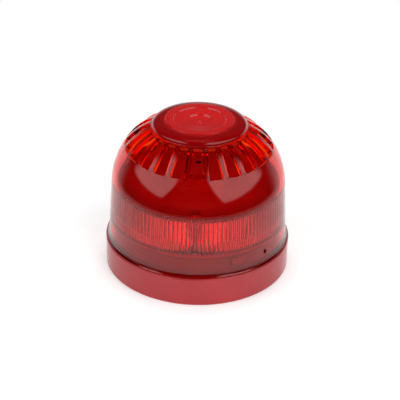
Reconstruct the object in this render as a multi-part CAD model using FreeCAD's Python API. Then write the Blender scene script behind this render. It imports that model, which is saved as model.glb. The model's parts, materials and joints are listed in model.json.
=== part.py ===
import FreeCAD, Part
import math
import os

# Horn strobe: a sounder with a beacon in a clear red domed head on a shallow mounting base.
# Millimetres. The origin is the centre of the base's back face, which lies on the wall or ceiling.
# +Z points out of the wall through the dome, and the front of the object faces -Y.
# Angles are in degrees, anticlockwise from +X as seen from the front (+Z) side.
# The head is drawn in its unlocked position. Turning it by LOCK_TURN clockwise locks it.

Vector = FreeCAD.Vector

# ---- mounting base ----
BASE_RADIUS = 50.0
BASE_HEIGHT = 16.0
BASE_WALL = 2.8
FLOOR = 2.5
DECK_UNDERSIDE = 11.8
COLLAR_OUTER = 44.9
COLLAR_INNER = 42.6
COLLAR_TOP = 26.2
GROOVE_INNER = 45.9
GROOVE_OUTER = 48.1
GROOVE_FLOOR = 13.8
CABLE_ENTRY_RADIUS = 10.0
FIXING_HOLE_RADIUS = 2.25
CONDUIT_BOX_SPACING = 50.8
GANG_BOX_SPACING = 60.3

# ---- bayonet between base and head ----
LOCK_TURN = 20.0
HOOK_COUNT = 4
HOOK_START_ANGLE = 62.0
HOOK_WIDTH = 22.0
HOOK_INNER = 40.0
HOOK_BOTTOM = 21.0
HOOK_TOP = 23.2
LUG_OUTER = 42.3
LUG_BOTTOM = 18.4
LUG_TOP = 20.6
LUG_REST_OFFSET = 25.0

# ---- clear dome ----
DOME_BOTTOM = 16.5
DOME_FOOT_RADIUS = 49.2
DOME_FOOT_TOP = 17.7
DOME_SKIRT_RADIUS = 48.35
DOME_WALL = 2.5
SHOULDER_START = 47.0
SHOULDER_ARC_RADIUS = 37.3
SHOULDER_ARC_CENTRE = 9.6
CAP_RADIUS = 25.1
CAP_EDGE_BOTTOM = 80.6
CAP_EDGE_TOP = 82.3
CAP_DISC_RADIUS = 18.2
DOME_TOP = 84.8
OUTER_RECESS_RADIUS = 14.0
OUTER_RECESS_FLOOR = 84.0
INNER_RECESS_RADIUS = 7.3
INNER_RECESS_FLOOR = 82.8
CAP_UNDERSIDE = 80.2
SLOT_COUNT = 24
SLOT_RIB_WIDTH = 2.8
SLOT_LOW_ANGLE = 36.5
SLOT_HIGH_ANGLE = 63.5
SHORT_SLOT_LOW_ANGLE = 41.5
PILLAR_ANGLES = (-90.0, 30.0, 150.0)
PILLAR_POSITION = 42.0
PILLAR_RADIUS = 2.2
PILLAR_HOLE_TOP = 48.5
DOME_SCREW_TOP = 47.0
DOME_SCREW_RADIUS = 1.2
PINHOLE_ANGLE = -40.5
PINHOLE_HEIGHT = 23.4
PINHOLE_RADIUS = 1.2

# ---- head chassis ----
CHASSIS_BOTTOM = 17.0
CHASSIS_FLOOR_TOP = 18.8
CHASSIS_RADIUS = 39.5
CHASSIS_WALL = 2.0
FLANGE_RADIUS = 45.2
FLANGE_BOTTOM = 26.8
FLANGE_TOP = 28.6

# ---- terminals on the base's floor ----
CARRIER_INNER = 17.5
CARRIER_OUTER = 33.5
CARRIER_TOP = 9.0
CARRIER_WIDTH = 67.0
CARRIER_SCREW_CIRCLE = 27.0
CARRIER_SCREW_OFFSET = 29.5
CARRIER_SCREW_TIP = 1.0
CARRIER_SCREW_HOLE = 1.5
TERMINAL_CENTRE_ANGLE = 45.0
CLAMP_CIRCLE = 28.6
CLAMP_SIZE = (5.0, 4.4)
WIRE_HOLE_HEIGHT = 5.9
WIRE_HOLE_RADIUS = 1.4
BLADE_WIDTH = 3.0

# ---- main board and what it carries ----
BOARD_BOTTOM = 21.6
BOARD_TOP = 23.2
BOARD_RADIUS = 36.5
BOARD_SCREW_CIRCLE = 33.0
BOARD_SCREW_ANGLES = (0.0, 120.0, 240.0)
CONTACT_COUNT = 4
CONTACT_PITCH = 13.0
CONTACT_CIRCLE = 21.0
CONTACT_PIN_RADIUS = 1.2
CONTACT_PIN_BOTTOM = 13.2
SWITCH_COUNT = 5
SWITCH_PITCH = 2.4
SWITCH_CENTRE = (-20.0, -6.0)
SWITCH_TRAVEL = 1.6
POT_CENTRE = (0.0, -24.0)
TRANSFORMER_CENTRE = (14.0, -12.0)
TRANSFORMER_RADIUS = 6.0
CAPACITOR_CENTRES = ((-14.0, -16.0), (-20.0, -6.0), (-16.0, 16.0))
CHIP_CENTRE = (0.0, 22.0)
HEADER_CENTRE = (11.8, 17.5)
HEADER_PIN_COUNT = 4
HEADER_PITCH = 2.54

# ---- beacon ----
LED_BOARD_BOTTOM = 35.8
LED_BOARD_TOP = 37.0
LED_BOARD_RADIUS = 27.0
LED_COUNT = 12
LED_CIRCLE = 22.0
STACK_HOLE_RADIUS = 1.6
STACK_POST_RADIUS = 3.2
STACK_POST_CIRCLE = 13.0
CENTRE_HOLE_RADIUS = 8.0
SHROUD_SHELF_BOTTOM = 34.4
DIFFUSER_OUTER = 39.4
DIFFUSER_INNER = 38.2
DIFFUSER_BOTTOM = 30.9
DIFFUSER_TOP = 46.5

# ---- sounder ----
HORN_BOTTOM = 49.3
HORN_RIM_RADIUS = 43.6
HORN_RIM_TOP = 51.0
CUP_RADIUS = 23.5
CUP_INNER = 21.5
CUP_FLOOR_TOP = 51.3
CUP_LEDGE = 56.0
CUP_TOP = 60.0
SOUNDER_PLATE_RADIUS = 21.2
SOUNDER_CERAMIC_RADIUS = 12.5
SOUNDER_PLATE_BOTTOM = 56.6
SOUNDER_PLATE_THICKNESS = 0.25
SOUND_HOLE_RADIUS = 1.8
SOUNDER_WIRE_STARTS = ((4.0, -3.0), (-4.0, -3.0))
SOUNDER_WIRE_RADIUS = 0.5

# ---- latch ----
LATCH_ANGLE = PINHOLE_ANGLE - LOCK_TURN
LATCH_BOTTOM = 21.4
LATCH_TOP = 25.0
LATCH_NOSE = 46.2
LATCH_NOSE_WIDTH = 8.0
LATCH_BODY_WIDTH = 10.0
LATCH_BODY_INNER = 41.3
LATCH_BODY_OUTER = 42.2
LATCH_GAP = 0.3
LATCH_GROOVE_OUTER = 46.6
LATCH_GROOVE_MARGIN = 5.6
LATCH_POST_OFFSET = 15.5
LATCH_SPRING_THICKNESS = 0.3
LATCH_SPRING_HALF_SPAN = 13.5
LATCH_SPRING_BOTTOM = 22.6
LATCH_SPRING_TOP = 24.0

FIRST_CONTACT_ANGLE = TERMINAL_CENTRE_ANGLE - CONTACT_PITCH * (CONTACT_COUNT - 1) / 2


# ---- helpers ----
def polar(radius, angle, z=0.0):
    """Point at a radius and an angle about the object's axis."""
    turn = math.radians(angle)
    return Vector(radius * math.cos(turn), radius * math.sin(turn), z)


def turned(shape, angle):
    """Copy of a shape turned about the object's axis."""
    copy = shape.copy()
    copy.rotate(Vector(0, 0, 0), Vector(0, 0, 1), angle)
    return copy


def disc(radius, bottom, top, centre=(0.0, 0.0)):
    """Solid cylinder standing along Z."""
    return Part.makeCylinder(radius, top - bottom, Vector(centre[0], centre[1], bottom))


def ring(outer, inner, bottom, top):
    """Round ring about the object's axis."""
    return disc(outer, bottom, top).cut(disc(inner, bottom - 1, top + 1))


def block(x_size, y_size, bottom, top, centre=(0.0, 0.0)):
    """Box centred in X and Y."""
    corner = Vector(centre[0] - x_size / 2, centre[1] - y_size / 2, bottom)
    return Part.makeBox(x_size, y_size, top - bottom, corner)


def spun(points):
    """Solid of revolution about Z from (radius, height) corners joined by straight lines."""
    corners = [Vector(radius, 0, height) for radius, height in points]
    face = Part.Face(Part.makePolygon(corners + corners[:1]))
    return face.revolve(Vector(0, 0, 0), Vector(0, 0, 1), 360)


def spun_edges(edges):
    """Solid of revolution about Z from edges that close an outline in the XZ plane."""
    return Part.Face(Part.Wire(edges)).revolve(Vector(0, 0, 0), Vector(0, 0, 1), 360)


def sector(outer, inner, bottom, top, centre_angle, width):
    """Part of a round ring, width degrees wide, centred on an angle."""
    face = Part.makePolygon([
        Vector(inner, 0, bottom), Vector(outer, 0, bottom),
        Vector(outer, 0, top), Vector(inner, 0, top), Vector(inner, 0, bottom)])
    solid = Part.Face(face).revolve(Vector(0, 0, 0), Vector(0, 0, 1), width)
    return turned(solid, centre_angle - width / 2)


def line(start, end):
    """Straight edge in the XZ plane between two (radius, height) points."""
    return Part.makeLine(Vector(start[0], 0, start[1]), Vector(end[0], 0, end[1]))


def arc(start, middle, end):
    """Arc edge in the XZ plane through three (radius, height) points."""
    points = [Vector(p[0], 0, p[1]) for p in (start, middle, end)]
    return Part.Arc(*points).toShape()


def bent_wire(points, bend_radius, wire_radius):
    """Round wire along straight runs that are joined by tangent arcs."""
    route = [Vector(*p) for p in points]
    edges = []
    start = route[0]
    for before, corner, after in zip(route, route[1:], route[2:]):
        back = (before - corner).normalize()
        onward = (after - corner).normalize()
        half_angle = back.getAngle(onward) / 2
        setback = bend_radius / math.tan(half_angle)
        enter = corner + back * setback
        leave = corner + onward * setback
        to_centre = (back + onward).normalize()
        crown = corner + to_centre * (bend_radius / math.sin(half_angle) - bend_radius)
        edges.append(Part.makeLine(start, enter))
        edges.append(Part.Arc(enter, crown, leave).toShape())
        start = leave
    edges.append(Part.makeLine(start, route[-1]))
    section = Part.Wire(Part.makeCircle(wire_radius, route[0], route[1] - route[0]))
    return Part.Wire(edges).makePipeShell([section], True, False)


def pan_head_screw(shank_radius, head_radius, head_height, tip, seat, centre):
    """Screw along Z with its head above the seat."""
    shank = disc(shank_radius, tip, seat, centre)
    head = disc(head_radius, seat, seat + head_height, centre)
    slot = block(head_radius * 3, 0.5, seat + head_height * 0.55, seat + head_height + 1, centre)
    return shank.fuse(head).removeSplitter().cut(slot)


def shoulder_point(angle, inset=0.0):
    """(radius, height) on the dome's shoulder arc, or on an arc inset from it."""
    turn = math.radians(angle)
    reach = SHOULDER_ARC_RADIUS - inset
    radius = SHOULDER_ARC_CENTRE + reach * math.cos(turn)
    return radius, SHOULDER_START + reach * math.sin(turn)


# ---- base body ----
def mounting_base():
    """Round cup with a floor, a deck, the collar that carries the head, and bayonet hooks."""
    body = spun([
        (CABLE_ENTRY_RADIUS, 0), (BASE_RADIUS - 0.6, 0), (BASE_RADIUS, 0.6),
        (BASE_RADIUS, BASE_HEIGHT - 0.5), (BASE_RADIUS - 0.5, BASE_HEIGHT),
        (GROOVE_OUTER, BASE_HEIGHT), (GROOVE_OUTER, GROOVE_FLOOR), (GROOVE_INNER, GROOVE_FLOOR),
        (GROOVE_INNER, BASE_HEIGHT), (COLLAR_OUTER, BASE_HEIGHT), (COLLAR_OUTER, COLLAR_TOP),
        (COLLAR_INNER, COLLAR_TOP), (COLLAR_INNER, DECK_UNDERSIDE),
        (BASE_RADIUS - BASE_WALL, DECK_UNDERSIDE), (BASE_RADIUS - BASE_WALL, FLOOR),
        (CABLE_ENTRY_RADIUS, FLOOR)])
    for index in range(HOOK_COUNT):
        angle = HOOK_START_ANGLE + index * 360 / HOOK_COUNT
        hook = sector(COLLAR_INNER + 0.5, HOOK_INNER, HOOK_BOTTOM, HOOK_TOP, angle, HOOK_WIDTH)
        body = body.fuse(hook)
    for side in (-1, 1):
        post = sector(COLLAR_INNER + 0.5, LATCH_BODY_INNER - 0.1, LATCH_SPRING_BOTTOM - 0.2,
                      LATCH_SPRING_TOP + 0.2, LATCH_ANGLE + side * LATCH_POST_OFFSET, 2.5)
        body = body.fuse(post)
    for centre in fixing_hole_centres():
        body = body.cut(disc(FIXING_HOLE_RADIUS, -1, FLOOR + 1, centre))
    for centre in carrier_screw_centres():
        body = body.cut(disc(CARRIER_SCREW_HOLE, CARRIER_SCREW_TIP - 0.2, FLOOR + 1, centre))
    window = block(8, LATCH_NOSE_WIDTH + 2 * LATCH_GAP, LATCH_BOTTOM - LATCH_GAP,
                   LATCH_TOP + LATCH_GAP, (COLLAR_OUTER - 1, 0))
    return body.cut(turned(window, LATCH_ANGLE)).removeSplitter()


def fixing_hole_centres():
    """Two wall screw holes along X for a conduit box and two along Y for a gang box."""
    along_x = [(side * CONDUIT_BOX_SPACING / 2, 0) for side in (-1, 1)]
    along_y = [(0, side * GANG_BOX_SPACING / 2) for side in (-1, 1)]
    return along_x + along_y


def carrier_screw_centres():
    points = [polar(CARRIER_SCREW_CIRCLE, TERMINAL_CENTRE_ANGLE + side * CARRIER_SCREW_OFFSET)
              for side in (-1, 1)]
    return [(p.x, p.y) for p in points]


def at_each_contact(shape):
    """Copies of a shape drawn on +X, one at each terminal's angle."""
    return [turned(shape, FIRST_CONTACT_ANGLE + i * CONTACT_PITCH) for i in range(CONTACT_COUNT)]


def terminal_carrier():
    """Moulded block on the base's floor with one pocket for each terminal."""
    body = sector(CARRIER_OUTER, CARRIER_INNER, FLOOR, CARRIER_TOP,
                  TERMINAL_CENTRE_ANGLE, CARRIER_WIDTH)
    pocket = block(CLAMP_SIZE[0] + 0.4, CLAMP_SIZE[1] + 0.4, FLOOR + 1.5, CARRIER_TOP + 1,
                   (CLAMP_CIRCLE, 0))
    wire_entry = Part.makeCylinder(WIRE_HOLE_RADIUS + 0.1, 8,
                                   Vector(CLAMP_CIRCLE, 0, WIRE_HOLE_HEIGHT), Vector(1, 0, 0))
    for cutter in at_each_contact(pocket.fuse(wire_entry)):
        body = body.cut(cutter)
    for centre in carrier_screw_centres():
        body = body.cut(disc(CARRIER_SCREW_HOLE, 0, CARRIER_TOP + 1, centre))
    return body


def terminal_clamps():
    """Brass boxes that the line wires go into."""
    clamp = block(CLAMP_SIZE[0], CLAMP_SIZE[1], FLOOR + 1.5, CARRIER_TOP - 0.6, (CLAMP_CIRCLE, 0))
    wire_hole = Part.makeCylinder(WIRE_HOLE_RADIUS, 9,
                                  Vector(CLAMP_CIRCLE - 1.2, 0, WIRE_HOLE_HEIGHT), Vector(1, 0, 0))
    thread = disc(1.1, FLOOR + 3, CARRIER_TOP, (CLAMP_CIRCLE, 0))
    return Part.makeCompound(at_each_contact(clamp.cut(wire_hole).cut(thread)))


def terminal_screws():
    """Screws that press the wires in the clamps."""
    tip = WIRE_HOLE_HEIGHT + 0.7
    screw = pan_head_screw(1.05, 1.9, 1.2, tip, CARRIER_TOP - 0.1, (CLAMP_CIRCLE, 0))
    return Part.makeCompound(at_each_contact(screw))


def contact_springs():
    """Bronze blades that rise from the carrier to meet the head's contact pins."""
    outline = [
        (25.2, 9.0), (23.4, 9.0), (19.0, 11.9), (18.6, 12.7), (20.6, 12.9), (22.6, 12.5),
        (22.5, 12.1), (20.6, 12.5), (19.4, 12.2), (23.6, 9.4), (25.2, 9.4)]
    corners = [Vector(r, -BLADE_WIDTH / 2, z) for r, z in outline + outline[:1]]
    blade = Part.Face(Part.makePolygon(corners)).extrude(Vector(0, BLADE_WIDTH, 0))
    return Part.makeCompound(at_each_contact(blade))


def carrier_screws():
    """Two screws that hold the terminal carrier to the floor."""
    screws = [pan_head_screw(1.4, 2.4, 1.8, CARRIER_SCREW_TIP, CARRIER_TOP, centre)
              for centre in carrier_screw_centres()]
    return Part.makeCompound(screws)


def latch_pawl():
    """Sliding catch in the collar's window, with a chamfered nose that points outwards."""
    half_body = LATCH_BODY_WIDTH / 2
    half_nose = LATCH_NOSE_WIDTH / 2
    outline = [
        (LATCH_BODY_INNER, -half_body), (LATCH_BODY_OUTER, -half_body),
        (LATCH_BODY_OUTER, -half_nose), (LATCH_NOSE - 0.2, -half_nose),
        (LATCH_NOSE, -half_nose + 0.2), (LATCH_NOSE, half_nose - 2.0),
        (LATCH_NOSE - 1.4, half_nose), (LATCH_BODY_OUTER, half_nose),
        (LATCH_BODY_OUTER, half_body), (LATCH_BODY_INNER, half_body)]
    corners = [Vector(x, y, LATCH_BOTTOM) for x, y in outline]
    face = Part.Face(Part.makePolygon(corners + corners[:1]))
    pawl = face.extrude(Vector(0, 0, LATCH_TOP - LATCH_BOTTOM))
    return turned(pawl, LATCH_ANGLE)


def latch_spring():
    """Bowed leaf spring that pushes the pawl outwards, tucked in beside its two posts."""
    end = polar(COLLAR_INNER - 0.45, LATCH_SPRING_HALF_SPAN, LATCH_SPRING_BOTTOM)
    crown = Vector(LATCH_BODY_INNER - 0.05, 0, LATCH_SPRING_BOTTOM)
    mirrored_end = Vector(end.x, -end.y, end.z)
    inward = Vector(-LATCH_SPRING_THICKNESS, 0, 0)
    outer = Part.Arc(mirrored_end, crown, end).toShape()
    inner = Part.Arc(end + inward, crown + inward, mirrored_end + inward).toShape()
    first_end = Part.makeLine(end, end + inward)
    last_end = Part.makeLine(mirrored_end + inward, mirrored_end)
    face = Part.Face(Part.Wire([outer, first_end, inner, last_end]))
    leaf = face.extrude(Vector(0, 0, LATCH_SPRING_TOP - LATCH_SPRING_BOTTOM))
    return turned(leaf, LATCH_ANGLE)


# ---- seal body ----
def head_seal():
    """Rubber ring in the groove under the dome's foot."""
    return ring(GROOVE_OUTER - 0.3, GROOVE_INNER + 0.3, GROOVE_FLOOR + 0.1, BASE_HEIGHT + 0.3)


# ---- head body ----
def dome_shell():
    """Dome wall with its skirt, shoulder arc and capped top, with no openings yet."""
    outer_crest = shoulder_point(0)
    inner_crest = shoulder_point(0, DOME_WALL)
    cap_root = (CAP_RADIUS - 0.2, CAP_EDGE_BOTTOM)
    arc_end_angle = math.degrees(math.acos((cap_root[0] - SHOULDER_ARC_CENTRE) / SHOULDER_ARC_RADIUS))
    arc_end = shoulder_point(arc_end_angle)
    inner_end_angle = math.degrees(
        math.asin((CAP_UNDERSIDE - SHOULDER_START) / (SHOULDER_ARC_RADIUS - DOME_WALL)))
    inner_end = shoulder_point(inner_end_angle, DOME_WALL)
    foot_inner = (DOME_SKIRT_RADIUS - DOME_WALL, DOME_BOTTOM)
    cap_crown = (CAP_RADIUS - 2.9, DOME_TOP - 0.85)
    return spun_edges([
        line(foot_inner, (DOME_FOOT_RADIUS, DOME_BOTTOM)),
        line((DOME_FOOT_RADIUS, DOME_BOTTOM), (DOME_FOOT_RADIUS, DOME_FOOT_TOP)),
        line((DOME_FOOT_RADIUS, DOME_FOOT_TOP), (DOME_SKIRT_RADIUS, DOME_FOOT_TOP + 0.7)),
        line((DOME_SKIRT_RADIUS, DOME_FOOT_TOP + 0.7), outer_crest),
        arc(outer_crest, shoulder_point(arc_end_angle / 2), arc_end),
        line(arc_end, (CAP_RADIUS, arc_end[1])),
        line((CAP_RADIUS, arc_end[1]), (CAP_RADIUS, CAP_EDGE_TOP)),
        arc((CAP_RADIUS, CAP_EDGE_TOP), cap_crown, (CAP_DISC_RADIUS, DOME_TOP)),
        line((CAP_DISC_RADIUS, DOME_TOP), (OUTER_RECESS_RADIUS, DOME_TOP)),
        line((OUTER_RECESS_RADIUS, DOME_TOP), (OUTER_RECESS_RADIUS, OUTER_RECESS_FLOOR)),
        line((OUTER_RECESS_RADIUS, OUTER_RECESS_FLOOR), (INNER_RECESS_RADIUS, OUTER_RECESS_FLOOR)),
        line((INNER_RECESS_RADIUS, OUTER_RECESS_FLOOR), (INNER_RECESS_RADIUS, INNER_RECESS_FLOOR)),
        line((INNER_RECESS_RADIUS, INNER_RECESS_FLOOR), (0, INNER_RECESS_FLOOR)),
        line((0, INNER_RECESS_FLOOR), (0, CAP_UNDERSIDE)),
        line((0, CAP_UNDERSIDE), inner_end),
        arc(inner_end, shoulder_point(inner_end_angle / 2, DOME_WALL), inner_crest),
        line(inner_crest, foot_inner)])


def slot_band(low_angle, high_angle):
    """Ring that crosses the dome's wall between two angles on the shoulder arc."""
    reach_out = -4.0
    reach_in = DOME_WALL + 4.0
    return spun([
        shoulder_point(low_angle, reach_out), shoulder_point(high_angle, reach_out),
        shoulder_point(high_angle, reach_in), shoulder_point(low_angle, reach_in)])


def slot_cutters():
    """Slots between straight ribs, three of them shorter above the dome's pillars."""
    band = slot_band(SLOT_LOW_ANGLE, SLOT_HIGH_ANGLE)
    pitch = 360 / SLOT_COUNT
    for index in range(SLOT_COUNT):
        rib = block(40, SLOT_RIB_WIDTH, 50, 100, (35, 0))
        band = band.cut(turned(rib, PILLAR_ANGLES[0] + (index + 0.5) * pitch))
    short_zone = slot_band(SLOT_LOW_ANGLE - 1, SHORT_SLOT_LOW_ANGLE)
    for angle in PILLAR_ANGLES:
        wedge = sector(80, 5, 40, 100, angle, pitch)
        band = band.cut(wedge.common(short_zone))
    return band


def lens_dome():
    """Clear red dome with sound slots, three screw pillars, a latch groove and a pinhole."""
    shell = dome_shell()
    core = spun_edges(inner_dome_outline())
    for angle in PILLAR_ANGLES:
        foot = polar(PILLAR_POSITION, angle)
        pillar = disc(PILLAR_RADIUS, FLANGE_TOP, 75, (foot.x, foot.y)).common(core)
        screw_hole = disc(DOME_SCREW_RADIUS + 0.2, FLANGE_TOP - 1, PILLAR_HOLE_TOP, (foot.x, foot.y))
        shell = shell.fuse(pillar).cut(screw_hole)
    shell = shell.cut(slot_cutters())
    travel = sector(LATCH_GROOVE_OUTER, 43, LATCH_BOTTOM - 0.5, LATCH_TOP + 0.5,
                    PINHOLE_ANGLE - LOCK_TURN / 2, LOCK_TURN + 2 * LATCH_GROOVE_MARGIN)
    entry = sector(LATCH_GROOVE_OUTER, 43, DOME_BOTTOM - 1, LATCH_TOP,
                   LATCH_ANGLE, 2 * LATCH_GROOVE_MARGIN)
    pinhole = Part.makeCylinder(PINHOLE_RADIUS, 10, polar(43, PINHOLE_ANGLE, PINHOLE_HEIGHT),
                                polar(1, PINHOLE_ANGLE))
    return shell.cut(travel).cut(entry).cut(pinhole).removeSplitter()


def inner_dome_outline():
    """Outline of the space inside the dome, a little larger so that pillars fuse with the wall."""
    bite = DOME_WALL - 0.5
    top_angle = 60.0
    crest = shoulder_point(0, bite)
    end = shoulder_point(top_angle, bite)
    bottom = (DOME_SKIRT_RADIUS - bite, DOME_BOTTOM)
    return [
        line((0, DOME_BOTTOM), bottom), line(bottom, crest),
        arc(crest, shoulder_point(top_angle / 2, bite), end),
        line(end, (0, end[1])), line((0, end[1]), (0, DOME_BOTTOM))]


def head_chassis():
    """Rear cover of the head: floor, wall, flange under the dome, lugs and board bosses."""
    body = spun([
        (0, CHASSIS_BOTTOM), (CHASSIS_RADIUS - 0.5, CHASSIS_BOTTOM),
        (CHASSIS_RADIUS, CHASSIS_BOTTOM + 0.5), (CHASSIS_RADIUS, FLANGE_BOTTOM),
        (FLANGE_RADIUS, FLANGE_BOTTOM), (FLANGE_RADIUS, FLANGE_TOP),
        (CHASSIS_RADIUS - CHASSIS_WALL, FLANGE_TOP),
        (CHASSIS_RADIUS - CHASSIS_WALL, CHASSIS_FLOOR_TOP), (0, CHASSIS_FLOOR_TOP)])
    for index in range(HOOK_COUNT):
        angle = HOOK_START_ANGLE + LUG_REST_OFFSET + index * 360 / HOOK_COUNT
        lug = sector(LUG_OUTER, CHASSIS_RADIUS - 0.5, LUG_BOTTOM, LUG_TOP, angle, HOOK_WIDTH)
        body = body.fuse(lug)
    for centre in stack_post_centres():
        body = body.fuse(disc(STACK_POST_RADIUS, CHASSIS_FLOOR_TOP - 0.5, BOARD_BOTTOM, centre))
        body = body.cut(disc(1.5, CHASSIS_BOTTOM + 0.7, BOARD_TOP, centre))
    for centre in board_screw_centres():
        body = body.fuse(disc(3.0, CHASSIS_FLOOR_TOP - 0.5, BOARD_BOTTOM, centre))
        body = body.cut(disc(1.1, CHASSIS_BOTTOM + 0.7, BOARD_TOP, centre))
    for angle in PILLAR_ANGLES:
        foot = polar(PILLAR_POSITION, angle)
        body = body.cut(countersunk_form(foot, 0.1))
    for centre in contact_pin_centres():
        body = body.cut(disc(CONTACT_PIN_RADIUS + 0.1, CHASSIS_BOTTOM - 1, BOARD_TOP, centre))
    body = body.cut(block(14.0, 8.0, CHASSIS_BOTTOM - 1, CHASSIS_FLOOR_TOP + 1, SWITCH_CENTRE))
    body = body.cut(disc(3.8, CHASSIS_BOTTOM - 1, CHASSIS_FLOOR_TOP + 1, POT_CENTRE))
    return body.removeSplitter()


def countersunk_form(centre, margin):
    """Countersunk screw shape that points up from the flange's underside."""
    foot = Vector(centre.x, centre.y, FLANGE_BOTTOM)
    head = Part.makeCone(2.2 + margin, DOME_SCREW_RADIUS + margin, 1.2, foot)
    shank = disc(DOME_SCREW_RADIUS + margin, FLANGE_BOTTOM, DOME_SCREW_TOP, (centre.x, centre.y))
    return head.fuse(shank)


def dome_screws():
    """Long countersunk screws from the flange up through the dome's pillars."""
    screws = []
    for angle in PILLAR_ANGLES:
        centre = polar(PILLAR_POSITION, angle)
        drive = block(3.0, 0.5, FLANGE_BOTTOM - 1, FLANGE_BOTTOM + 0.5, (centre.x, centre.y))
        screws.append(countersunk_form(centre, 0.0).cut(drive).removeSplitter())
    return Part.makeCompound(screws)


def dome_gasket():
    """Thin ring between the chassis flange and the dome's wall."""
    gasket = ring(FLANGE_RADIUS, 43.4, FLANGE_TOP, FLANGE_TOP + 0.6)
    for angle in PILLAR_ANGLES:
        foot = polar(PILLAR_POSITION, angle)
        gasket = gasket.cut(disc(PILLAR_RADIUS + 0.1, FLANGE_TOP - 1, FLANGE_TOP + 2, (foot.x, foot.y)))
    return gasket


def stack_post_centres():
    """Centres of the three posts that hold the boards and the sounder in one stack."""
    points = [polar(STACK_POST_CIRCLE, angle) for angle in PILLAR_ANGLES]
    return [(p.x, p.y) for p in points]


def board_screw_centres():
    points = [polar(BOARD_SCREW_CIRCLE, angle) for angle in BOARD_SCREW_ANGLES]
    return [(p.x, p.y) for p in points]


def contact_pin_centres():
    """Pins stand LOCK_TURN ahead of their springs, so they meet when the head is locked."""
    first = FIRST_CONTACT_ANGLE + LOCK_TURN
    points = [polar(CONTACT_CIRCLE, first + i * CONTACT_PITCH) for i in range(CONTACT_COUNT)]
    return [(p.x, p.y) for p in points]


def main_board():
    """Round printed circuit board on the chassis bosses."""
    board = disc(BOARD_RADIUS, BOARD_BOTTOM, BOARD_TOP)
    for centre in stack_post_centres():
        board = board.cut(disc(STACK_HOLE_RADIUS, BOARD_BOTTOM - 1, BOARD_TOP + 1, centre))
    for centre in board_screw_centres():
        board = board.cut(disc(1.3, BOARD_BOTTOM - 1, BOARD_TOP + 1, centre))
    return board


def board_screws():
    screws = [pan_head_screw(1.05, 2.2, 1.6, CHASSIS_BOTTOM + 1, BOARD_TOP, centre)
              for centre in board_screw_centres()]
    return Part.makeCompound(screws)


def contact_pins():
    """Round pins from the main board down through the chassis floor."""
    pins = []
    for centre in contact_pin_centres():
        pin = disc(CONTACT_PIN_RADIUS, CONTACT_PIN_BOTTOM + 0.6, BOARD_BOTTOM, centre)
        tip = Part.makeSphere(CONTACT_PIN_RADIUS, Vector(centre[0], centre[1], CONTACT_PIN_BOTTOM + 1.2))
        pins.append(pin.common(disc(5, CONTACT_PIN_BOTTOM + 1.2, BOARD_BOTTOM, centre)).fuse(tip))
    return Part.makeCompound([pin.removeSplitter() for pin in pins])


def transformer_core():
    """Ferrite drum core of the step-up transformer."""
    lower = disc(TRANSFORMER_RADIUS, BOARD_TOP, BOARD_TOP + 1.6, TRANSFORMER_CENTRE)
    neck = disc(2.4, BOARD_TOP + 1.0, BOARD_TOP + 8.0, TRANSFORMER_CENTRE)
    upper = disc(TRANSFORMER_RADIUS, BOARD_TOP + 7.2, BOARD_TOP + 8.8, TRANSFORMER_CENTRE)
    return lower.fuse(neck).fuse(upper).removeSplitter()


def transformer_winding():
    """Copper winding between the core's two flanges."""
    winding = disc(TRANSFORMER_RADIUS - 0.8, BOARD_TOP + 1.7, BOARD_TOP + 7.1, TRANSFORMER_CENTRE)
    return winding.cut(disc(2.5, BOARD_TOP, BOARD_TOP + 9, TRANSFORMER_CENTRE))


def reservoir_capacitors():
    """Upright electrolytic cans."""
    cans = []
    for centre in CAPACITOR_CENTRES:
        can = disc(3.2, BOARD_TOP + 0.4, BOARD_TOP + 9.0, centre)
        foot = disc(2.6, BOARD_TOP, BOARD_TOP + 0.5, centre)
        cans.append(can.fuse(foot).removeSplitter())
    return Part.makeCompound(cans)


def control_chip():
    """Microcontroller package with two rows of leads."""
    lead_pitch = 1.3
    lead_count = 7
    chip = block(9.0, 6.0, BOARD_TOP + 0.3, BOARD_TOP + 2.1, CHIP_CENTRE)
    for index in range(lead_count):
        x = CHIP_CENTRE[0] + (index - (lead_count - 1) / 2) * lead_pitch
        chip = chip.fuse(block(0.5, 8.4, BOARD_TOP, BOARD_TOP + 0.5, (x, CHIP_CENTRE[1])))
    return chip.removeSplitter()


def surface_mount_parts():
    """Small resistors, diodes and ceramic capacitors in two arcs on the main board."""
    chips = []
    for index in range(14):
        chip = block(2.0, 1.2, BOARD_TOP, BOARD_TOP + 0.8, (29.5, 0))
        chips.append(turned(chip, 20 + index * 11))
    for index in range(9):
        chip = block(3.2, 1.6, BOARD_TOP, BOARD_TOP + 1.1, (26.5, 0))
        chips.append(turned(chip, 255 + index * 12))
    return Part.makeCompound(chips)


def switch_x(index):
    """X of one slider in the switch block."""
    return SWITCH_CENTRE[0] + (index - (SWITCH_COUNT - 1) / 2) * SWITCH_PITCH


def dip_switch_body():
    """Switch block under the main board, open downwards through the chassis window."""
    body = block(12.8, 7.0, 17.6, BOARD_BOTTOM, SWITCH_CENTRE)
    for index in range(SWITCH_COUNT):
        pocket = block(1.7, 3.6, 17.0, 19.1, (switch_x(index), SWITCH_CENTRE[1]))
        body = body.cut(pocket)
    return body


def dip_slider(index):
    """One slider of the switch block, at the off end of its pocket."""
    centre = (switch_x(index), SWITCH_CENTRE[1] - SWITCH_TRAVEL / 2)
    carriage = block(1.3, 1.6, 17.9, 18.9, centre)
    tip = block(0.9, 0.8, 17.3, 18.0, centre)
    return carriage.fuse(tip).removeSplitter()


def volume_pot_body():
    """Case of the volume trimmer under the main board."""
    body = block(6.6, 6.6, CHASSIS_FLOOR_TOP + 0.1, BOARD_BOTTOM, POT_CENTRE)
    return body.cut(disc(2.3, 17.0, 19.8, POT_CENTRE))


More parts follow.
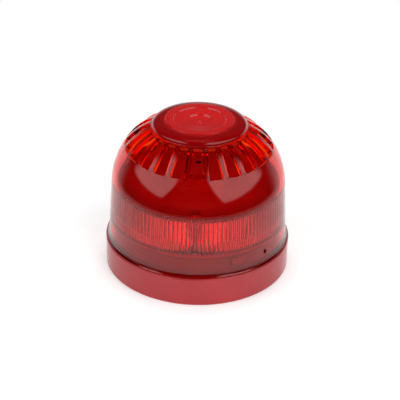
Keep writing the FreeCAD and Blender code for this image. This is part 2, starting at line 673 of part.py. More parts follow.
def volume_pot_rotor():
    """Slotted rotor of the trimmer."""
    rotor = disc(2.0, 17.7, 19.7, POT_CENTRE)
    rotor = rotor.cut(block(3.0, 0.6, 17.0, 18.5, POT_CENTRE))
    return rotor.cut(block(0.6, 3.0, 17.0, 18.2, POT_CENTRE))


def board_header():
    """Row of pins between the main board and the LED board."""
    header = block(HEADER_PIN_COUNT * HEADER_PITCH + 0.4, 2.4, BOARD_TOP + 0.1, BOARD_TOP + 2.6,
                   HEADER_CENTRE)
    for index in range(HEADER_PIN_COUNT):
        x = HEADER_CENTRE[0] + (index - (HEADER_PIN_COUNT - 1) / 2) * HEADER_PITCH
        pin = block(0.64, 0.64, BOARD_TOP, LED_BOARD_BOTTOM, (x, HEADER_CENTRE[1]))
        header = header.fuse(pin)
    return header.removeSplitter()


def light_shroud():
    """White cone and shelf that cover the main board and carry the LED board."""
    body = spun([
        (42.6, FLANGE_TOP), (39.0, FLANGE_TOP), (26.5, SHROUD_SHELF_BOTTOM),
        (CENTRE_HOLE_RADIUS, SHROUD_SHELF_BOTTOM), (CENTRE_HOLE_RADIUS, LED_BOARD_BOTTOM),
        (28.4, LED_BOARD_BOTTOM)])
    for centre in stack_post_centres():
        body = body.fuse(disc(STACK_POST_RADIUS, BOARD_TOP, SHROUD_SHELF_BOTTOM + 0.5, centre))
        body = body.cut(disc(STACK_HOLE_RADIUS, BOARD_TOP - 1, LED_BOARD_TOP, centre))
    for angle in PILLAR_ANGLES:
        foot = polar(PILLAR_POSITION, angle)
        notch = disc(PILLAR_RADIUS + 0.3, FLANGE_TOP - 1, LED_BOARD_TOP, (foot.x, foot.y))
        body = body.cut(notch)
    header_slot = block(HEADER_PIN_COUNT * HEADER_PITCH + 1.2, 1.6, SHROUD_SHELF_BOTTOM - 1,
                        LED_BOARD_TOP, HEADER_CENTRE)
    return body.cut(header_slot).removeSplitter()


def led_board():
    """Ring-shaped printed circuit board for the LEDs."""
    board = ring(LED_BOARD_RADIUS, CENTRE_HOLE_RADIUS, LED_BOARD_BOTTOM, LED_BOARD_TOP)
    for centre in stack_post_centres():
        board = board.cut(disc(STACK_HOLE_RADIUS, LED_BOARD_BOTTOM - 1, LED_BOARD_TOP + 1, centre))
    return board


def beacon_leds():
    """LED packages that shine up and out at the reflector."""
    leds = []
    for index in range(LED_COUNT):
        case = block(3.0, 3.0, LED_BOARD_TOP, LED_BOARD_TOP + 0.9, (LED_CIRCLE, 0))
        lens = disc(1.1, LED_BOARD_TOP + 0.5, LED_BOARD_TOP + 1.2, (LED_CIRCLE, 0))
        leds.append(turned(case.fuse(lens).removeSplitter(), (index + 0.5) * 360 / LED_COUNT))
    return Part.makeCompound(leds)


def diffuser_ring():
    """Opal ring round the LEDs that spreads their light evenly behind the prism band."""
    return spun([
        (DIFFUSER_INNER, DIFFUSER_BOTTOM), (DIFFUSER_OUTER, DIFFUSER_BOTTOM),
        (DIFFUSER_OUTER, DIFFUSER_TOP), (DIFFUSER_INNER, DIFFUSER_TOP)])


def beam_reflector():
    """Bright inverted cone that turns the LED light out through the prism band."""
    body = spun([
        (19.0, 38.2), (20.6, 38.2), (40.2, 47.6), (40.2, HORN_BOTTOM), (17.5, HORN_BOTTOM),
        (17.5, HORN_BOTTOM - 1.3), (37.0, HORN_BOTTOM - 1.3)])
    for angle in PILLAR_ANGLES:
        foot = polar(PILLAR_POSITION, angle)
        body = body.cut(disc(PILLAR_RADIUS + 0.3, 30, HORN_BOTTOM + 1, (foot.x, foot.y)))
    return body


def horn_insert():
    """Red bowl that closes off the electronics and leads the sound out to the slots."""
    body = spun([
        (0, HORN_BOTTOM), (CUP_RADIUS, HORN_BOTTOM), (CUP_RADIUS, CUP_LEDGE - 1.4),
        (HORN_RIM_RADIUS - 1.0, HORN_BOTTOM), (HORN_RIM_RADIUS, HORN_BOTTOM),
        (HORN_RIM_RADIUS, HORN_RIM_TOP), (CUP_RADIUS + 0.5, CUP_LEDGE + 0.5),
        (CUP_RADIUS, CUP_TOP), (CUP_INNER, CUP_TOP), (CUP_INNER, CUP_LEDGE),
        (CUP_INNER - 2.5, CUP_LEDGE), (CUP_INNER - 2.5, CUP_FLOOR_TOP), (0, CUP_FLOOR_TOP)])
    for centre in stack_post_centres():
        body = body.fuse(disc(STACK_POST_RADIUS, LED_BOARD_TOP, HORN_BOTTOM + 0.5, centre))
        body = body.cut(disc(STACK_HOLE_RADIUS, LED_BOARD_TOP - 1, CUP_FLOOR_TOP + 1, centre))
    for angle in PILLAR_ANGLES:
        foot = polar(PILLAR_POSITION, angle)
        notch = disc(PILLAR_RADIUS + 0.3, HORN_BOTTOM - 1, CUP_LEDGE, (foot.x, foot.y))
        body = body.cut(notch)
    for start in SOUNDER_WIRE_STARTS:
        body = body.cut(disc(1.2, HORN_BOTTOM - 1, CUP_FLOOR_TOP + 1, start))
    return body.removeSplitter()


def sounder_gasket():
    """Soft ring under the sounder plate's edge."""
    return ring(SOUNDER_PLATE_RADIUS, CUP_INNER - 2.3, CUP_LEDGE, SOUNDER_PLATE_BOTTOM)


def sounder_plate():
    """Thin brass disc that vibrates."""
    return disc(SOUNDER_PLATE_RADIUS, SOUNDER_PLATE_BOTTOM,
                SOUNDER_PLATE_BOTTOM + SOUNDER_PLATE_THICKNESS)


def sounder_ceramic():
    """Piezoelectric disc bonded under the brass plate."""
    return disc(SOUNDER_CERAMIC_RADIUS, SOUNDER_PLATE_BOTTOM - SOUNDER_PLATE_THICKNESS,
                SOUNDER_PLATE_BOTTOM)


def sounder_cover():
    """Cover over the sounder plate with a round sound hole."""
    bottom = SOUNDER_PLATE_BOTTOM + SOUNDER_PLATE_THICKNESS
    outer = CUP_INNER - 0.1
    return spun([
        (SOUND_HOLE_RADIUS, bottom + 0.9), (outer - 2.0, bottom + 0.9), (outer - 2.0, bottom),
        (outer, bottom), (outer, bottom + 2.0), (SOUND_HOLE_RADIUS, bottom + 2.0)])


def sounder_wires():
    """Two wires from the main board up to the ceramic and to the brass plate."""
    near, far = SOUNDER_WIRE_STARTS
    run_height = CUP_FLOOR_TOP + 2.6
    plate_joint_x = -15.5
    bend_radius = 1.2
    ceramic_underside = SOUNDER_PLATE_BOTTOM - SOUNDER_PLATE_THICKNESS
    straight = disc(SOUNDER_WIRE_RADIUS, BOARD_TOP, ceramic_underside, near)
    route = [(far[0], far[1], BOARD_TOP), (far[0], far[1], run_height),
             (plate_joint_x, far[1], run_height), (plate_joint_x, far[1], SOUNDER_PLATE_BOTTOM)]
    return Part.makeCompound([straight, bent_wire(route, bend_radius, SOUNDER_WIRE_RADIUS)])


def frame_screws():
    """Three long screws that hold the sounder, the LED board and the shroud to the chassis."""
    screws = [pan_head_screw(1.4, 2.6, 1.9, CHASSIS_BOTTOM + 1, CUP_FLOOR_TOP, centre)
              for centre in stack_post_centres()]
    return Part.makeCompound(screws)


def build():
    """Make every piece, by node name."""
    pieces = {
        "mounting_base": mounting_base(),
        "terminal_carrier": terminal_carrier(),
        "terminal_clamps": terminal_clamps(),
        "terminal_screws": terminal_screws(),
        "contact_springs": contact_springs(),
        "carrier_screws": carrier_screws(),
        "latch_pawl": latch_pawl(),
        "latch_spring": latch_spring(),
        "head_seal": head_seal(),
        "lens_dome": lens_dome(),
        "head_chassis": head_chassis(),
        "dome_screws": dome_screws(),
        "dome_gasket": dome_gasket(),
        "main_board": main_board(),
        "board_screws": board_screws(),
        "contact_pins": contact_pins(),
        "transformer_core": transformer_core(),
        "transformer_winding": transformer_winding(),
        "reservoir_capacitors": reservoir_capacitors(),
        "control_chip": control_chip(),
        "surface_mount_parts": surface_mount_parts(),
        "dip_switch_body": dip_switch_body(),
        "volume_pot_body": volume_pot_body(),
        "volume_pot_rotor": volume_pot_rotor(),
        "board_header": board_header(),
        "light_shroud": light_shroud(),
        "led_board": led_board(),
        "beacon_leds": beacon_leds(),
        "diffuser_ring": diffuser_ring(),
        "beam_reflector": beam_reflector(),
        "horn_insert": horn_insert(),
        "sounder_gasket": sounder_gasket(),
        "sounder_plate": sounder_plate(),
        "sounder_ceramic": sounder_ceramic(),
        "sounder_cover": sounder_cover(),
        "sounder_wires": sounder_wires(),
        "frame_screws": frame_screws(),
    }
    for index in range(SWITCH_COUNT):
        pieces["dip_slider_%d" % (index + 1)] = dip_slider(index)
    return pieces


os.makedirs("parts", exist_ok=True)
for node_name, node_shape in build().items():
    state = "valid" if node_shape.isValid() else "NOT VALID"
    print("%-22s %s solids=%d volume=%.1f" % (
        node_name, state, len(node_shape.Solids), node_shape.Volume))
    node_shape.exportStep("parts/%s.step" % node_name)
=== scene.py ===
import json
import math

import bmesh
import bpy
from mathutils import Matrix, Vector


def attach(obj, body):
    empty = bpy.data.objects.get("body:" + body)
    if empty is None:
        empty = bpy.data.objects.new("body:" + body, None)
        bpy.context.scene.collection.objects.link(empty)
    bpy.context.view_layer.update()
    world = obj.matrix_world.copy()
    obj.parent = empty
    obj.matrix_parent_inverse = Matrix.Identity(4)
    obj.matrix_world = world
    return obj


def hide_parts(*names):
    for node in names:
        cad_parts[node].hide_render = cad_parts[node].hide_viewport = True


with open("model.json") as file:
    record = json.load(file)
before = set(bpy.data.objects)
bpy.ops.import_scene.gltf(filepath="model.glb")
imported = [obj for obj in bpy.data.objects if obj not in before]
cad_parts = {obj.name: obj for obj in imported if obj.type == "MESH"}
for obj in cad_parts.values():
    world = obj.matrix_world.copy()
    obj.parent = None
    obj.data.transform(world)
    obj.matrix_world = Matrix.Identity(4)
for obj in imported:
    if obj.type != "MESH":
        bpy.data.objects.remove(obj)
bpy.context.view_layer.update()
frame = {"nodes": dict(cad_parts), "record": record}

# Horn strobe: looks of the red sounder with a beacon, built round its imported CAD model.
# Sizes are in millimetres and become metres in mm(), apart from those of the floor, the lights,
# the camera's distance and the radii of the cap's milky haze and painted top light, which are in
# metres. The object faces -Y and its wall face is at z = 0. Azimuths are in degrees, measured from
# the front, positive to the right as seen from the front, so azimuth 0 is -Y and azimuth 90 is +X.

TINY = 1e-6

# ---- dome: skirt and shoulder ----
DOME_BOTTOM = 16.2
FOOT_RADIUS = 49.2
FOOT_ROUNDING = 0.25
FOOT_TOP = 17.8
FLARE_TOP = 19.4
SKIRT_RADIUS = 48.35
WALL = 2.5
# The shoulder is an arc. Its centre lies at this radius and at the height where it starts,
# and angles on it are in degrees above level.
SHOULDER_START = 47.0
SHOULDER_ARC_RADIUS = 37.3
SHOULDER_ARC_CENTRE = 9.6

# ---- dome: cap ----
CAP_FOOT_ANGLE = 65.2
CAP_FOOT_RISE = 0.15
CAP_RADIUS = 25.1
CAP_EDGE_TOP = 82.3
CAP_EDGE_ROUNDING = 0.3
CAP_DISC_RADIUS = 18.2
CAP_DISC_STEP = 0.55
DOME_TOP = 84.8
# The cap's side is part of an ellipse round this point, between these angles
CAP_SIDE_CENTRE_RADIUS = CAP_DISC_RADIUS - 0.6
CAP_SIDE_CENTRE_HEIGHT = CAP_EDGE_TOP - 0.5
CAP_SIDE_WIDTH = CAP_RADIUS - CAP_SIDE_CENTRE_RADIUS
CAP_SIDE_RISE = DOME_TOP - CAP_EDGE_TOP - 0.1
CAP_SIDE_START = 12
CAP_SIDE_SWEEP = 66
CAP_SIDE_STEPS = 7
OUTER_RECESS_RADIUS = 14.0
OUTER_RECESS_DRAFT = 0.35
OUTER_RECESS_FLOOR = 84.0
INNER_RECESS_RADIUS = 7.3
INNER_RECESS_DRAFT = 0.45
INNER_RECESS_FLOOR = 82.8
PIP_STEP_RADIUS = 2.4
PIP_STEP_TOP = INNER_RECESS_FLOOR + 0.18
PIP_RADIUS = 0.9
PIP_SHOULDER = (0.55, INNER_RECESS_FLOOR + 0.55)
PIP_TOP = (0.25, INNER_RECESS_FLOOR + 0.6)
CAP_UNDERSIDE = 80.2
CAP_INNER_FOOT_RADIUS = 23.4
CAP_INNER_FOOT_RISE = 0.5
CAP_INNER_EDGE_RADIUS = 22.6
CAP_INNER_EDGE_DROP = 0.9
CAP_INNER_SIDE_RADIUS = 22.0
CAP_INNER_SIDE_END = 17.0
UNDER_DISC_SHARE = 0.92

# ---- dome: slots, ribs and pillars ----
# The dome is a grid of rows and columns; each slot takes the same number of columns, and
# half a rib lies at each end of them.
SLOT_COUNT = 24
COLUMNS_PER_SLOT = 20
COLUMNS = SLOT_COUNT * COLUMNS_PER_SLOT
COLUMN_STEP = 360.0 / COLUMNS
RIB_HALF_COLUMNS = 3
RIB_HALF_WIDTH = 1.4
SLOT_LOW = 36.5
SLOT_HIGH = 63.5
SHORT_SLOT_LOW = 41.5
SLOT_CORNER = 0.9
EVEN_GRID_END = 16.0
RIB_EXTRA_DEPTH = 0.3
RIB_CHAMFER = 0.5
RIB_DEPTH_START = 33.0
RIB_DEPTH_RISE = 6.0
RIB_DEPTH_END = 66.0
RIB_DEPTH_FALL = 5.0
PILLAR_AZIMUTHS = (0.0, 120.0, 240.0)
PILLAR_POSITION = 42.0
PILLAR_RADIUS = 2.2
PILLAR_DRAFT = 0.25
PILLAR_BOTTOM = 28.7
PILLAR_TOP = 58.3
PILLAR_COLUMNS = 24
FILLET_STEPS = 3

# ---- dome: prism band and pinhole ----
PRISM_COLUMNS = 4
GROOVE_DEPTH = 0.7
SHALLOW_GROOVE_DEPTH = 0.4
STRIP_COLUMNS = 3
PRISM_BOTTOM = 27.6
PRISM_TOP = 49.4
PINHOLE_AZIMUTH = 49.5
PINHOLE_HEIGHT = 23.4
PINHOLE_RADIUS = 1.2
# The pinhole is cut from a block of the grid that reaches this many cells from its middle
PINHOLE_BLOCK = 2
# The row through its middle comes after the rows of the foot and those just below it
FOOT_ROWS = 6
PINHOLE_ROWS_BESIDE = 3
PINHOLE_ROW = FOOT_ROWS + PINHOLE_ROWS_BESIDE

# ---- dome: finishes, some of them painted light, as places in the dome's list of materials ----
# The cap's milky red, with a painted reflection of the light from above on its disc
CAP_MILKY_PAINTED_LIGHT = 1
CAP_UNDERSIDE_FINISH = 2
# The slots' ends and corners are painted with an opaque orange red glow of light
SLOT_END_PAINTED_GLOW = 3
CAP_MILKY_PAINTED_LIGHT_BOTTOM = CAP_EDGE_TOP - 1.2
UNDERSIDE_FINISH_RADIUS = 23.5
UNDERSIDE_FINISH_BOTTOM = CAP_UNDERSIDE - 2
UNDERSIDE_FINISH_TOP = CAP_UNDERSIDE + 1


def mm(value):
    return value * 0.001


def around(radius, azimuth, height):
    """Point in metres at a radius, azimuth and height given in millimetres and degrees."""
    turn = math.radians(azimuth)
    return Vector((mm(radius) * math.sin(turn), -mm(radius) * math.cos(turn), mm(height)))


def mix(low, high, share):
    return low + (high - low) * share


def limited(share):
    """Holds a share within 0 and 1."""
    return min(1.0, max(0.0, share))


def new_object(name, mesh):
    piece = bpy.data.objects.new(name, mesh)
    bpy.context.scene.collection.objects.link(piece)
    return piece


def object_from(name, build):
    """Object whose mesh is what build(bm) makes in a fresh bmesh."""
    bm = bmesh.new()
    build(bm)
    bmesh.ops.recalc_face_normals(bm, faces=bm.faces)
    mesh = bpy.data.meshes.new(name)
    bm.to_mesh(mesh)
    bm.free()
    return new_object(name, mesh)


def smooth_by_angle(piece, degrees):
    """Smooth shading with sharp edges where faces meet at more than an angle."""
    mesh = piece.data
    for face in mesh.polygons:
        face.use_smooth = True
    mesh.set_sharp_from_angle(angle=math.radians(degrees))


# ---- outlines ----
def fillet(points, radii):
    """Outline through (radius, height) points with rounded corners."""
    outline = []
    for index, (point, radius) in enumerate(zip(points, radii)):
        corner = Vector(point)
        if radius == 0 or index in (0, len(points) - 1):
            outline.append(tuple(corner))
            continue
        to_last = (Vector(points[index - 1]) - corner).normalized()
        to_next = (Vector(points[index + 1]) - corner).normalized()
        half = to_last.angle(to_next) / 2
        setback = radius / math.tan(half)
        centre = corner + (to_last + to_next).normalized() * (radius / math.sin(half))
        start = corner + to_last * setback - centre
        end = corner + to_next * setback - centre
        sweep = start.angle(end)
        for step in range(FILLET_STEPS + 1):
            share = step / FILLET_STEPS
            arm = (start * math.sin((1 - share) * sweep) + end * math.sin(share * sweep))
            outline.append(tuple(centre + arm / math.sin(sweep)))
    return outline


def lathe(bm, outline, columns):
    """Spins a (radius, height) outline round Z; radius 0 points become poles."""
    rings = []
    for radius, height in outline:
        if radius < TINY:
            rings.append([bm.verts.new((0, 0, mm(height)))])
            continue
        rings.append([bm.verts.new(around(radius, 360.0 * c / columns, height))
                      for c in range(columns)])
    for first, second in zip(rings, rings[1:]):
        join_rings(bm, first, second, columns)


def join_rings(bm, first, second, columns):
    """Band of faces between two rings, either of which may be a pole."""
    for c in range(columns):
        n = (c + 1) % columns
        if len(first) == 1:
            bm.faces.new((first[0], second[c], second[n]))
        elif len(second) == 1:
            bm.faces.new((first[c], first[n], second[0]))
        else:
            bm.faces.new((first[c], first[n], second[n], second[c]))


# ---- dome mesh ----
def shoulder(angle, inset=0.0):
    """(radius, height) on the shoulder arc, or on an arc inset from it."""
    reach = SHOULDER_ARC_RADIUS - inset
    turn = math.radians(angle)
    return (SHOULDER_ARC_CENTRE + reach * math.cos(turn), SHOULDER_START + reach * math.sin(turn))


def skirt_radius(height, inset=0.0):
    """Radius of the drafted skirt, or of the start of the shoulder, at a height."""
    if height > SHOULDER_START:
        angle = math.degrees(math.asin((height - SHOULDER_START) / SHOULDER_ARC_RADIUS))
        return shoulder(angle)[0] - inset
    share = (height - FOOT_TOP) / (SHOULDER_START - FOOT_TOP)
    return mix(SKIRT_RADIUS, shoulder(0)[0], share) - inset


def row(outer, inner, kind="plain", angle=None):
    """Row of the dome's grid: a (radius, height) on each face, and its shoulder angle if any."""
    return {"outer": outer, "inner": inner, "kind": kind, "angle": angle}


def skirt_rows():
    """Rows from the dome's foot to the bottom of the prism band."""
    foot_inner = SKIRT_RADIUS - WALL
    foot_edge = DOME_BOTTOM + FOOT_ROUNDING
    rows = [row((FOOT_RADIUS - FOOT_ROUNDING, DOME_BOTTOM),
                (foot_inner + FOOT_ROUNDING, DOME_BOTTOM)),
            row((FOOT_RADIUS, foot_edge), (foot_inner, foot_edge))]
    for share in (0.25, 0.5, 0.75, 1.0):
        height = mix(foot_edge, FLARE_TOP, share)
        flare = (FOOT_RADIUS - SKIRT_RADIUS) * (1 - share) ** 2
        rows.append(row((SKIRT_RADIUS + flare, height), (foot_inner, height)))
    pitch = math.radians(COLUMN_STEP) * SKIRT_RADIUS
    for step in range(-PINHOLE_ROWS_BESIDE, PINHOLE_ROWS_BESIDE + 1):
        height = PINHOLE_HEIGHT + step * pitch
        rows.append(row((skirt_radius(height), height), (skirt_radius(height, WALL), height),
                        "pinhole"))
    return rows


def prism_rows():
    """Rows of the band whose inner face carries upright prisms. Its first and last rows are
    plain, so that the grooves run out at both ends of the band."""
    rows = []
    for share in (0.0, 0.1, 0.5, 0.9, 0.97, 1.0):
        height = mix(PRISM_BOTTOM, PRISM_TOP, share)
        kind = "plain" if share in (0.0, 1.0) else "prism"
        rows.append(row((skirt_radius(height), height), (skirt_radius(height, WALL), height),
                        kind))
    return rows


def shoulder_rows():
    """Rows from the top of the prism band to the cap, through the slots. They lie closest
    together in the slots' rounded corners."""
    below_slots = SLOT_LOW - 1.5
    rows = []
    for angle in (5, 8, 12, 16, 20, 24, 28, 32, below_slots):
        rows.append(row(shoulder(angle), shoulder(angle, WALL), angle=angle))
    corner = math.degrees(SLOT_CORNER / SHOULDER_ARC_RADIUS)
    corner_shares = (0, 0.12, 0.4, 1.0)
    angles = [SLOT_LOW + corner * share for share in corner_shares]
    angles += [SHORT_SLOT_LOW + corner * share for share in corner_shares]
    angles += [47.0, 51.5, 56.0, 60.0]
    angles += [SLOT_HIGH - corner * share for share in reversed(corner_shares)]
    for angle in angles:
        rows.append(row(shoulder(angle), shoulder(angle, WALL), "slot", angle))
    return rows


def cap_rows():
    """Rows of the cap: its edge, its convex side, the disc and the two recesses."""
    foot = shoulder(CAP_FOOT_ANGLE)
    under_foot = shoulder(CAP_FOOT_ANGLE, WALL)
    rows = [row(foot, under_foot),
            row((CAP_RADIUS, foot[1] + CAP_FOOT_RISE),
                (CAP_INNER_FOOT_RADIUS, under_foot[1] + CAP_INNER_FOOT_RISE)),
            row((CAP_RADIUS, CAP_EDGE_TOP - CAP_EDGE_ROUNDING),
                (CAP_INNER_EDGE_RADIUS, CAP_UNDERSIDE - CAP_INNER_EDGE_DROP))]
    for step in range(CAP_SIDE_STEPS + 1):
        turn = math.radians(CAP_SIDE_START + CAP_SIDE_SWEEP * step / CAP_SIDE_STEPS)
        radius = CAP_SIDE_CENTRE_RADIUS + CAP_SIDE_WIDTH * math.cos(turn)
        height = CAP_SIDE_CENTRE_HEIGHT + CAP_SIDE_RISE * math.sin(turn)
        inner = mix(CAP_INNER_SIDE_RADIUS, CAP_INNER_SIDE_END, step / CAP_SIDE_STEPS)
        rows.append(row((radius, height), (inner, CAP_UNDERSIDE)))
    for radius, height in disc_outline():
        rows.append(row((radius, height), (radius * UNDER_DISC_SHARE, CAP_UNDERSIDE)))
    return rows


def disc_outline():
    """The cap's disc from its rim inwards: the outer recess, the inner recess and the pip."""
    corners = [(CAP_DISC_RADIUS, DOME_TOP - CAP_DISC_STEP), (CAP_DISC_RADIUS, DOME_TOP),
               (OUTER_RECESS_RADIUS, DOME_TOP),
               (OUTER_RECESS_RADIUS - OUTER_RECESS_DRAFT, OUTER_RECESS_FLOOR),
               (INNER_RECESS_RADIUS, OUTER_RECESS_FLOOR),
               (INNER_RECESS_RADIUS - INNER_RECESS_DRAFT, INNER_RECESS_FLOOR),
               (PIP_STEP_RADIUS, INNER_RECESS_FLOOR), (PIP_STEP_RADIUS - 0.2, PIP_STEP_TOP),
               (PIP_RADIUS, PIP_STEP_TOP), PIP_SHOULDER, PIP_TOP]
    roundings = [0, 0.3, 0.3, 0.2, 0.25, 0.35, 0, 0, 0, 0, 0]
    return fillet(corners, roundings)


def column_azimuth(column, angle):
    """Azimuth of a column; in the slots the rib edges keep a constant rib width."""
    sector, place = divmod(column, COLUMNS_PER_SLOT)
    from_rib = min(place, COLUMNS_PER_SLOT - place)
    sector_start = (sector - 0.5) * 360.0 / SLOT_COUNT
    nominal = from_rib * COLUMN_STEP
    if angle is not None:
        radius = shoulder(angle)[0]
        half_rib = math.degrees(math.asin(rib_half_width(sector, angle) / radius))
        edge = RIB_HALF_COLUMNS * COLUMN_STEP
        blend = limited((angle - EVEN_GRID_END) / (SLOT_LOW - EVEN_GRID_END))
        edge_now = mix(edge, half_rib, blend)
        if from_rib <= RIB_HALF_COLUMNS:
            nominal = edge_now * from_rib / RIB_HALF_COLUMNS
        else:
            half_sector = 180.0 / SLOT_COUNT
            share = (nominal - edge) / (half_sector - edge)
            nominal = mix(edge_now, half_sector, share)
    if place > COLUMNS_PER_SLOT / 2:
        return sector_start + 360.0 / SLOT_COUNT - nominal
    return sector_start + nominal


def rib_half_width(sector, angle):
    """Half width of the rib beside a slot; it flares where the slot's ends are rounded."""
    low = slot_start(sector)
    from_end = min(abs(angle - low), abs(SLOT_HIGH - angle))
    from_end = math.radians(from_end) * SHOULDER_ARC_RADIUS
    if angle < low or from_end >= SLOT_CORNER:
        return RIB_HALF_WIDTH
    inward = math.sqrt(SLOT_CORNER ** 2 - (SLOT_CORNER - from_end) ** 2)
    return RIB_HALF_WIDTH + SLOT_CORNER - inward


def at_slot_end(rows, r, column):
    """True where a slot row lies at a slot's end or in its rounded corners."""
    return rib_half_width(column // COLUMNS_PER_SLOT, rows[r]["angle"]) > RIB_HALF_WIDTH


def is_short(sector):
    """The slots above the three pillars are shorter."""
    return (sector * 360.0 / SLOT_COUNT) % 360 in PILLAR_AZIMUTHS


def slot_start(sector):
    """Shoulder angle of a slot's lower end."""
    return SHORT_SLOT_LOW if is_short(sector) else SLOT_LOW


def groove_depth(column):
    """Depth at a column of the grooves that cut the band's inner wall into upright prisms. Deep
    and shallow grooves alternate. In front of each pillar only two deep grooves are cut, one on
    each side of a plain strip."""
    sector, place = divmod(column, COLUMNS_PER_SLOT)
    from_middle = abs(place - COLUMNS_PER_SLOT // 2)
    if is_short(sector) and from_middle <= PRISM_COLUMNS:
        return GROOVE_DEPTH if from_middle == STRIP_COLUMNS else 0.0
    depths = {0: GROOVE_DEPTH, PRISM_COLUMNS // 2: SHALLOW_GROOVE_DEPTH}
    return depths.get(place % PRISM_COLUMNS, 0.0)


def rib_depth(column, angle):
    """Extra depth of the ribs behind the shoulder, easing out at the slots' ends. The ribs'
    side edges are chamfered, which makes the wall thinner there."""
    place = column % COLUMNS_PER_SLOT
    from_rib = min(place, COLUMNS_PER_SLOT - place)
    if angle is None or from_rib > RIB_HALF_COLUMNS:
        return 0.0
    rise = limited((angle - RIB_DEPTH_START) / RIB_DEPTH_RISE)
    fall = limited((RIB_DEPTH_END - angle) / RIB_DEPTH_FALL)
    at_side = from_rib == RIB_HALF_COLUMNS
    depth = RIB_EXTRA_DEPTH - RIB_CHAMFER if at_side else RIB_EXTRA_DEPTH
    return depth * min(rise, fall)


def pinhole_place(column_offset, row_offset, radius):
    """Azimuth and height on a circle for a grid point of the pinhole's block. The block's edge
    becomes the rim of the hole; its middle and points outside it stay where they are."""
    reach = max(abs(column_offset), abs(row_offset))
    if reach == 0 or reach > PINHOLE_BLOCK:
        return None
    direction = math.atan2(row_offset, column_offset)
    hole = PINHOLE_RADIUS * reach / PINHOLE_BLOCK
    azimuth = PINHOLE_AZIMUTH + math.degrees(hole * math.cos(direction) / radius)
    return azimuth, PINHOLE_HEIGHT + hole * math.sin(direction)


def dome_point(rows, r, column, side):
    """Position of a grid point on the dome's outer or inner face."""
    line = rows[r]
    radius, height = line[side]
    azimuth = column_azimuth(column, line["angle"])
    if side == "inner":
        if line["kind"] == "prism":
            radius += groove_depth(column)
        depth = rib_depth(column, line["angle"])
        if depth:
            radius, height = shoulder(line["angle"], WALL + depth)
    if line["kind"] == "pinhole":
        moved = pinhole_place(column - pinhole_column(), r - PINHOLE_ROW, radius)
        if moved:
            azimuth, height = moved
    return around(radius, azimuth, height)


def pinhole_column():
    """Grid column nearest the pinhole; column 0 lies half a slot left of the front."""
    return round((PINHOLE_AZIMUTH + 180.0 / SLOT_COUNT) / COLUMN_STEP)


def cell_is_open(rows, r, column):
    """True for a grid cell inside a slot or the pinhole."""
    low, high = rows[r], rows[r + 1]
    if low["kind"] == "slot" and high["kind"] == "slot":
        sector, place = divmod(column, COLUMNS_PER_SLOT)
        between_ribs = RIB_HALF_COLUMNS <= place < COLUMNS_PER_SLOT - RIB_HALF_COLUMNS
        return between_ribs and low["angle"] >= slot_start(sector) - TINY
    if low["kind"] == "pinhole" and high["kind"] == "pinhole":
        across = column - pinhole_column()
        up = r - PINHOLE_ROW
        return -PINHOLE_BLOCK <= across < PINHOLE_BLOCK and -PINHOLE_BLOCK <= up < PINHOLE_BLOCK
    return False


def neighbours(r, c):
    """The four cells beside a cell, each with the two ends of the edge that they share."""
    return ((r, c - 1, ((r, c), (r + 1, c))),
            (r, c + 1, ((r, c + 1), (r + 1, c + 1))),
            (r - 1, c, ((r, c), (r, c + 1))),
            (r + 1, c, ((r + 1, c), (r + 1, c + 1))))


def build_dome(bm):
    """Outer and inner face of the dome as one grid each, with walls through it at the slots
    and the pinhole."""
    rows = skirt_rows() + prism_rows() + shoulder_rows() + cap_rows()
    grids = {}
    for side in ("outer", "inner"):
        grids[side] = [[bm.verts.new(dome_point(rows, r, c, side)) for c in range(COLUMNS)]
                       for r in range(len(rows))]
    for r in range(len(rows) - 1):
        for c in range(COLUMNS):
            if cell_is_open(rows, r, c):
                continue
            add_cell(bm, grids["outer"], r, c)
            add_cell(bm, grids["inner"], r, c)
            for other_r, other_c, edge in neighbours(r, c):
                add_wall(bm, grids, rows, other_r, other_c % COLUMNS, edge)
    join_rings(bm, grids["outer"][0], grids["inner"][0], COLUMNS)
    for side in ("outer", "inner"):
        bm.faces.new(grids[side][-1])
    loose = [v for v in bm.verts if not v.link_faces]
    bmesh.ops.delete(bm, geom=loose, context="VERTS")
    for azimuth in PILLAR_AZIMUTHS:
        add_pillar(bm, azimuth)


def add_cell(bm, grid, r, c):
    n = (c + 1) % COLUMNS
    face = bm.faces.new((grid[r][c], grid[r][n], grid[r + 1][n], grid[r + 1][c]))
    face.smooth = True


def add_wall(bm, grids, rows, r, c, edge):
    """Wall through the dome between a kept cell and an open neighbour."""
    if not 0 <= r < len(rows) - 1 or not cell_is_open(rows, r, c):
        return
    (r0, c0), (r1, c1) = edge
    c0, c1 = c0 % COLUMNS, c1 % COLUMNS
    outer, inner = grids["outer"], grids["inner"]
    face = bm.faces.new((outer[r0][c0], outer[r1][c1], inner[r1][c1], inner[r0][c0]))
    face.smooth = True
    # Walls at a slot's end or rounded corner get the opaque orange red that paints the glow of
    # light let out there
    if rows[r0]["kind"] == "slot" and (at_slot_end(rows, r0, c0) or at_slot_end(rows, r1, c0)):
        face.material_index = SLOT_END_PAINTED_GLOW


def add_pillar(bm, azimuth):
    """Round screw pillar, meant to stand just inside the dome's wall. Known fault: the moved
    points aren't the pillar's own, so every pillar stays on the dome's axis."""
    centre = around(PILLAR_POSITION, azimuth, 0)
    outline = fillet([(0, PILLAR_BOTTOM), (PILLAR_RADIUS, PILLAR_BOTTOM),
                      (PILLAR_RADIUS - PILLAR_DRAFT, PILLAR_TOP), (0, PILLAR_TOP)],
                     [0, 0.2, 0.3, 0])
    start = len(bm.verts)
    lathe(bm, outline, PILLAR_COLUMNS)
    bm.verts.ensure_lookup_table()
    bmesh.ops.translate(bm, vec=centre, verts=bm.verts[start:])


def make_dome():
    dome = object_from("clear_dome", build_dome)
    smooth_by_angle(dome, 32)
    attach(dome, "head")
    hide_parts("lens_dome")
    return dome


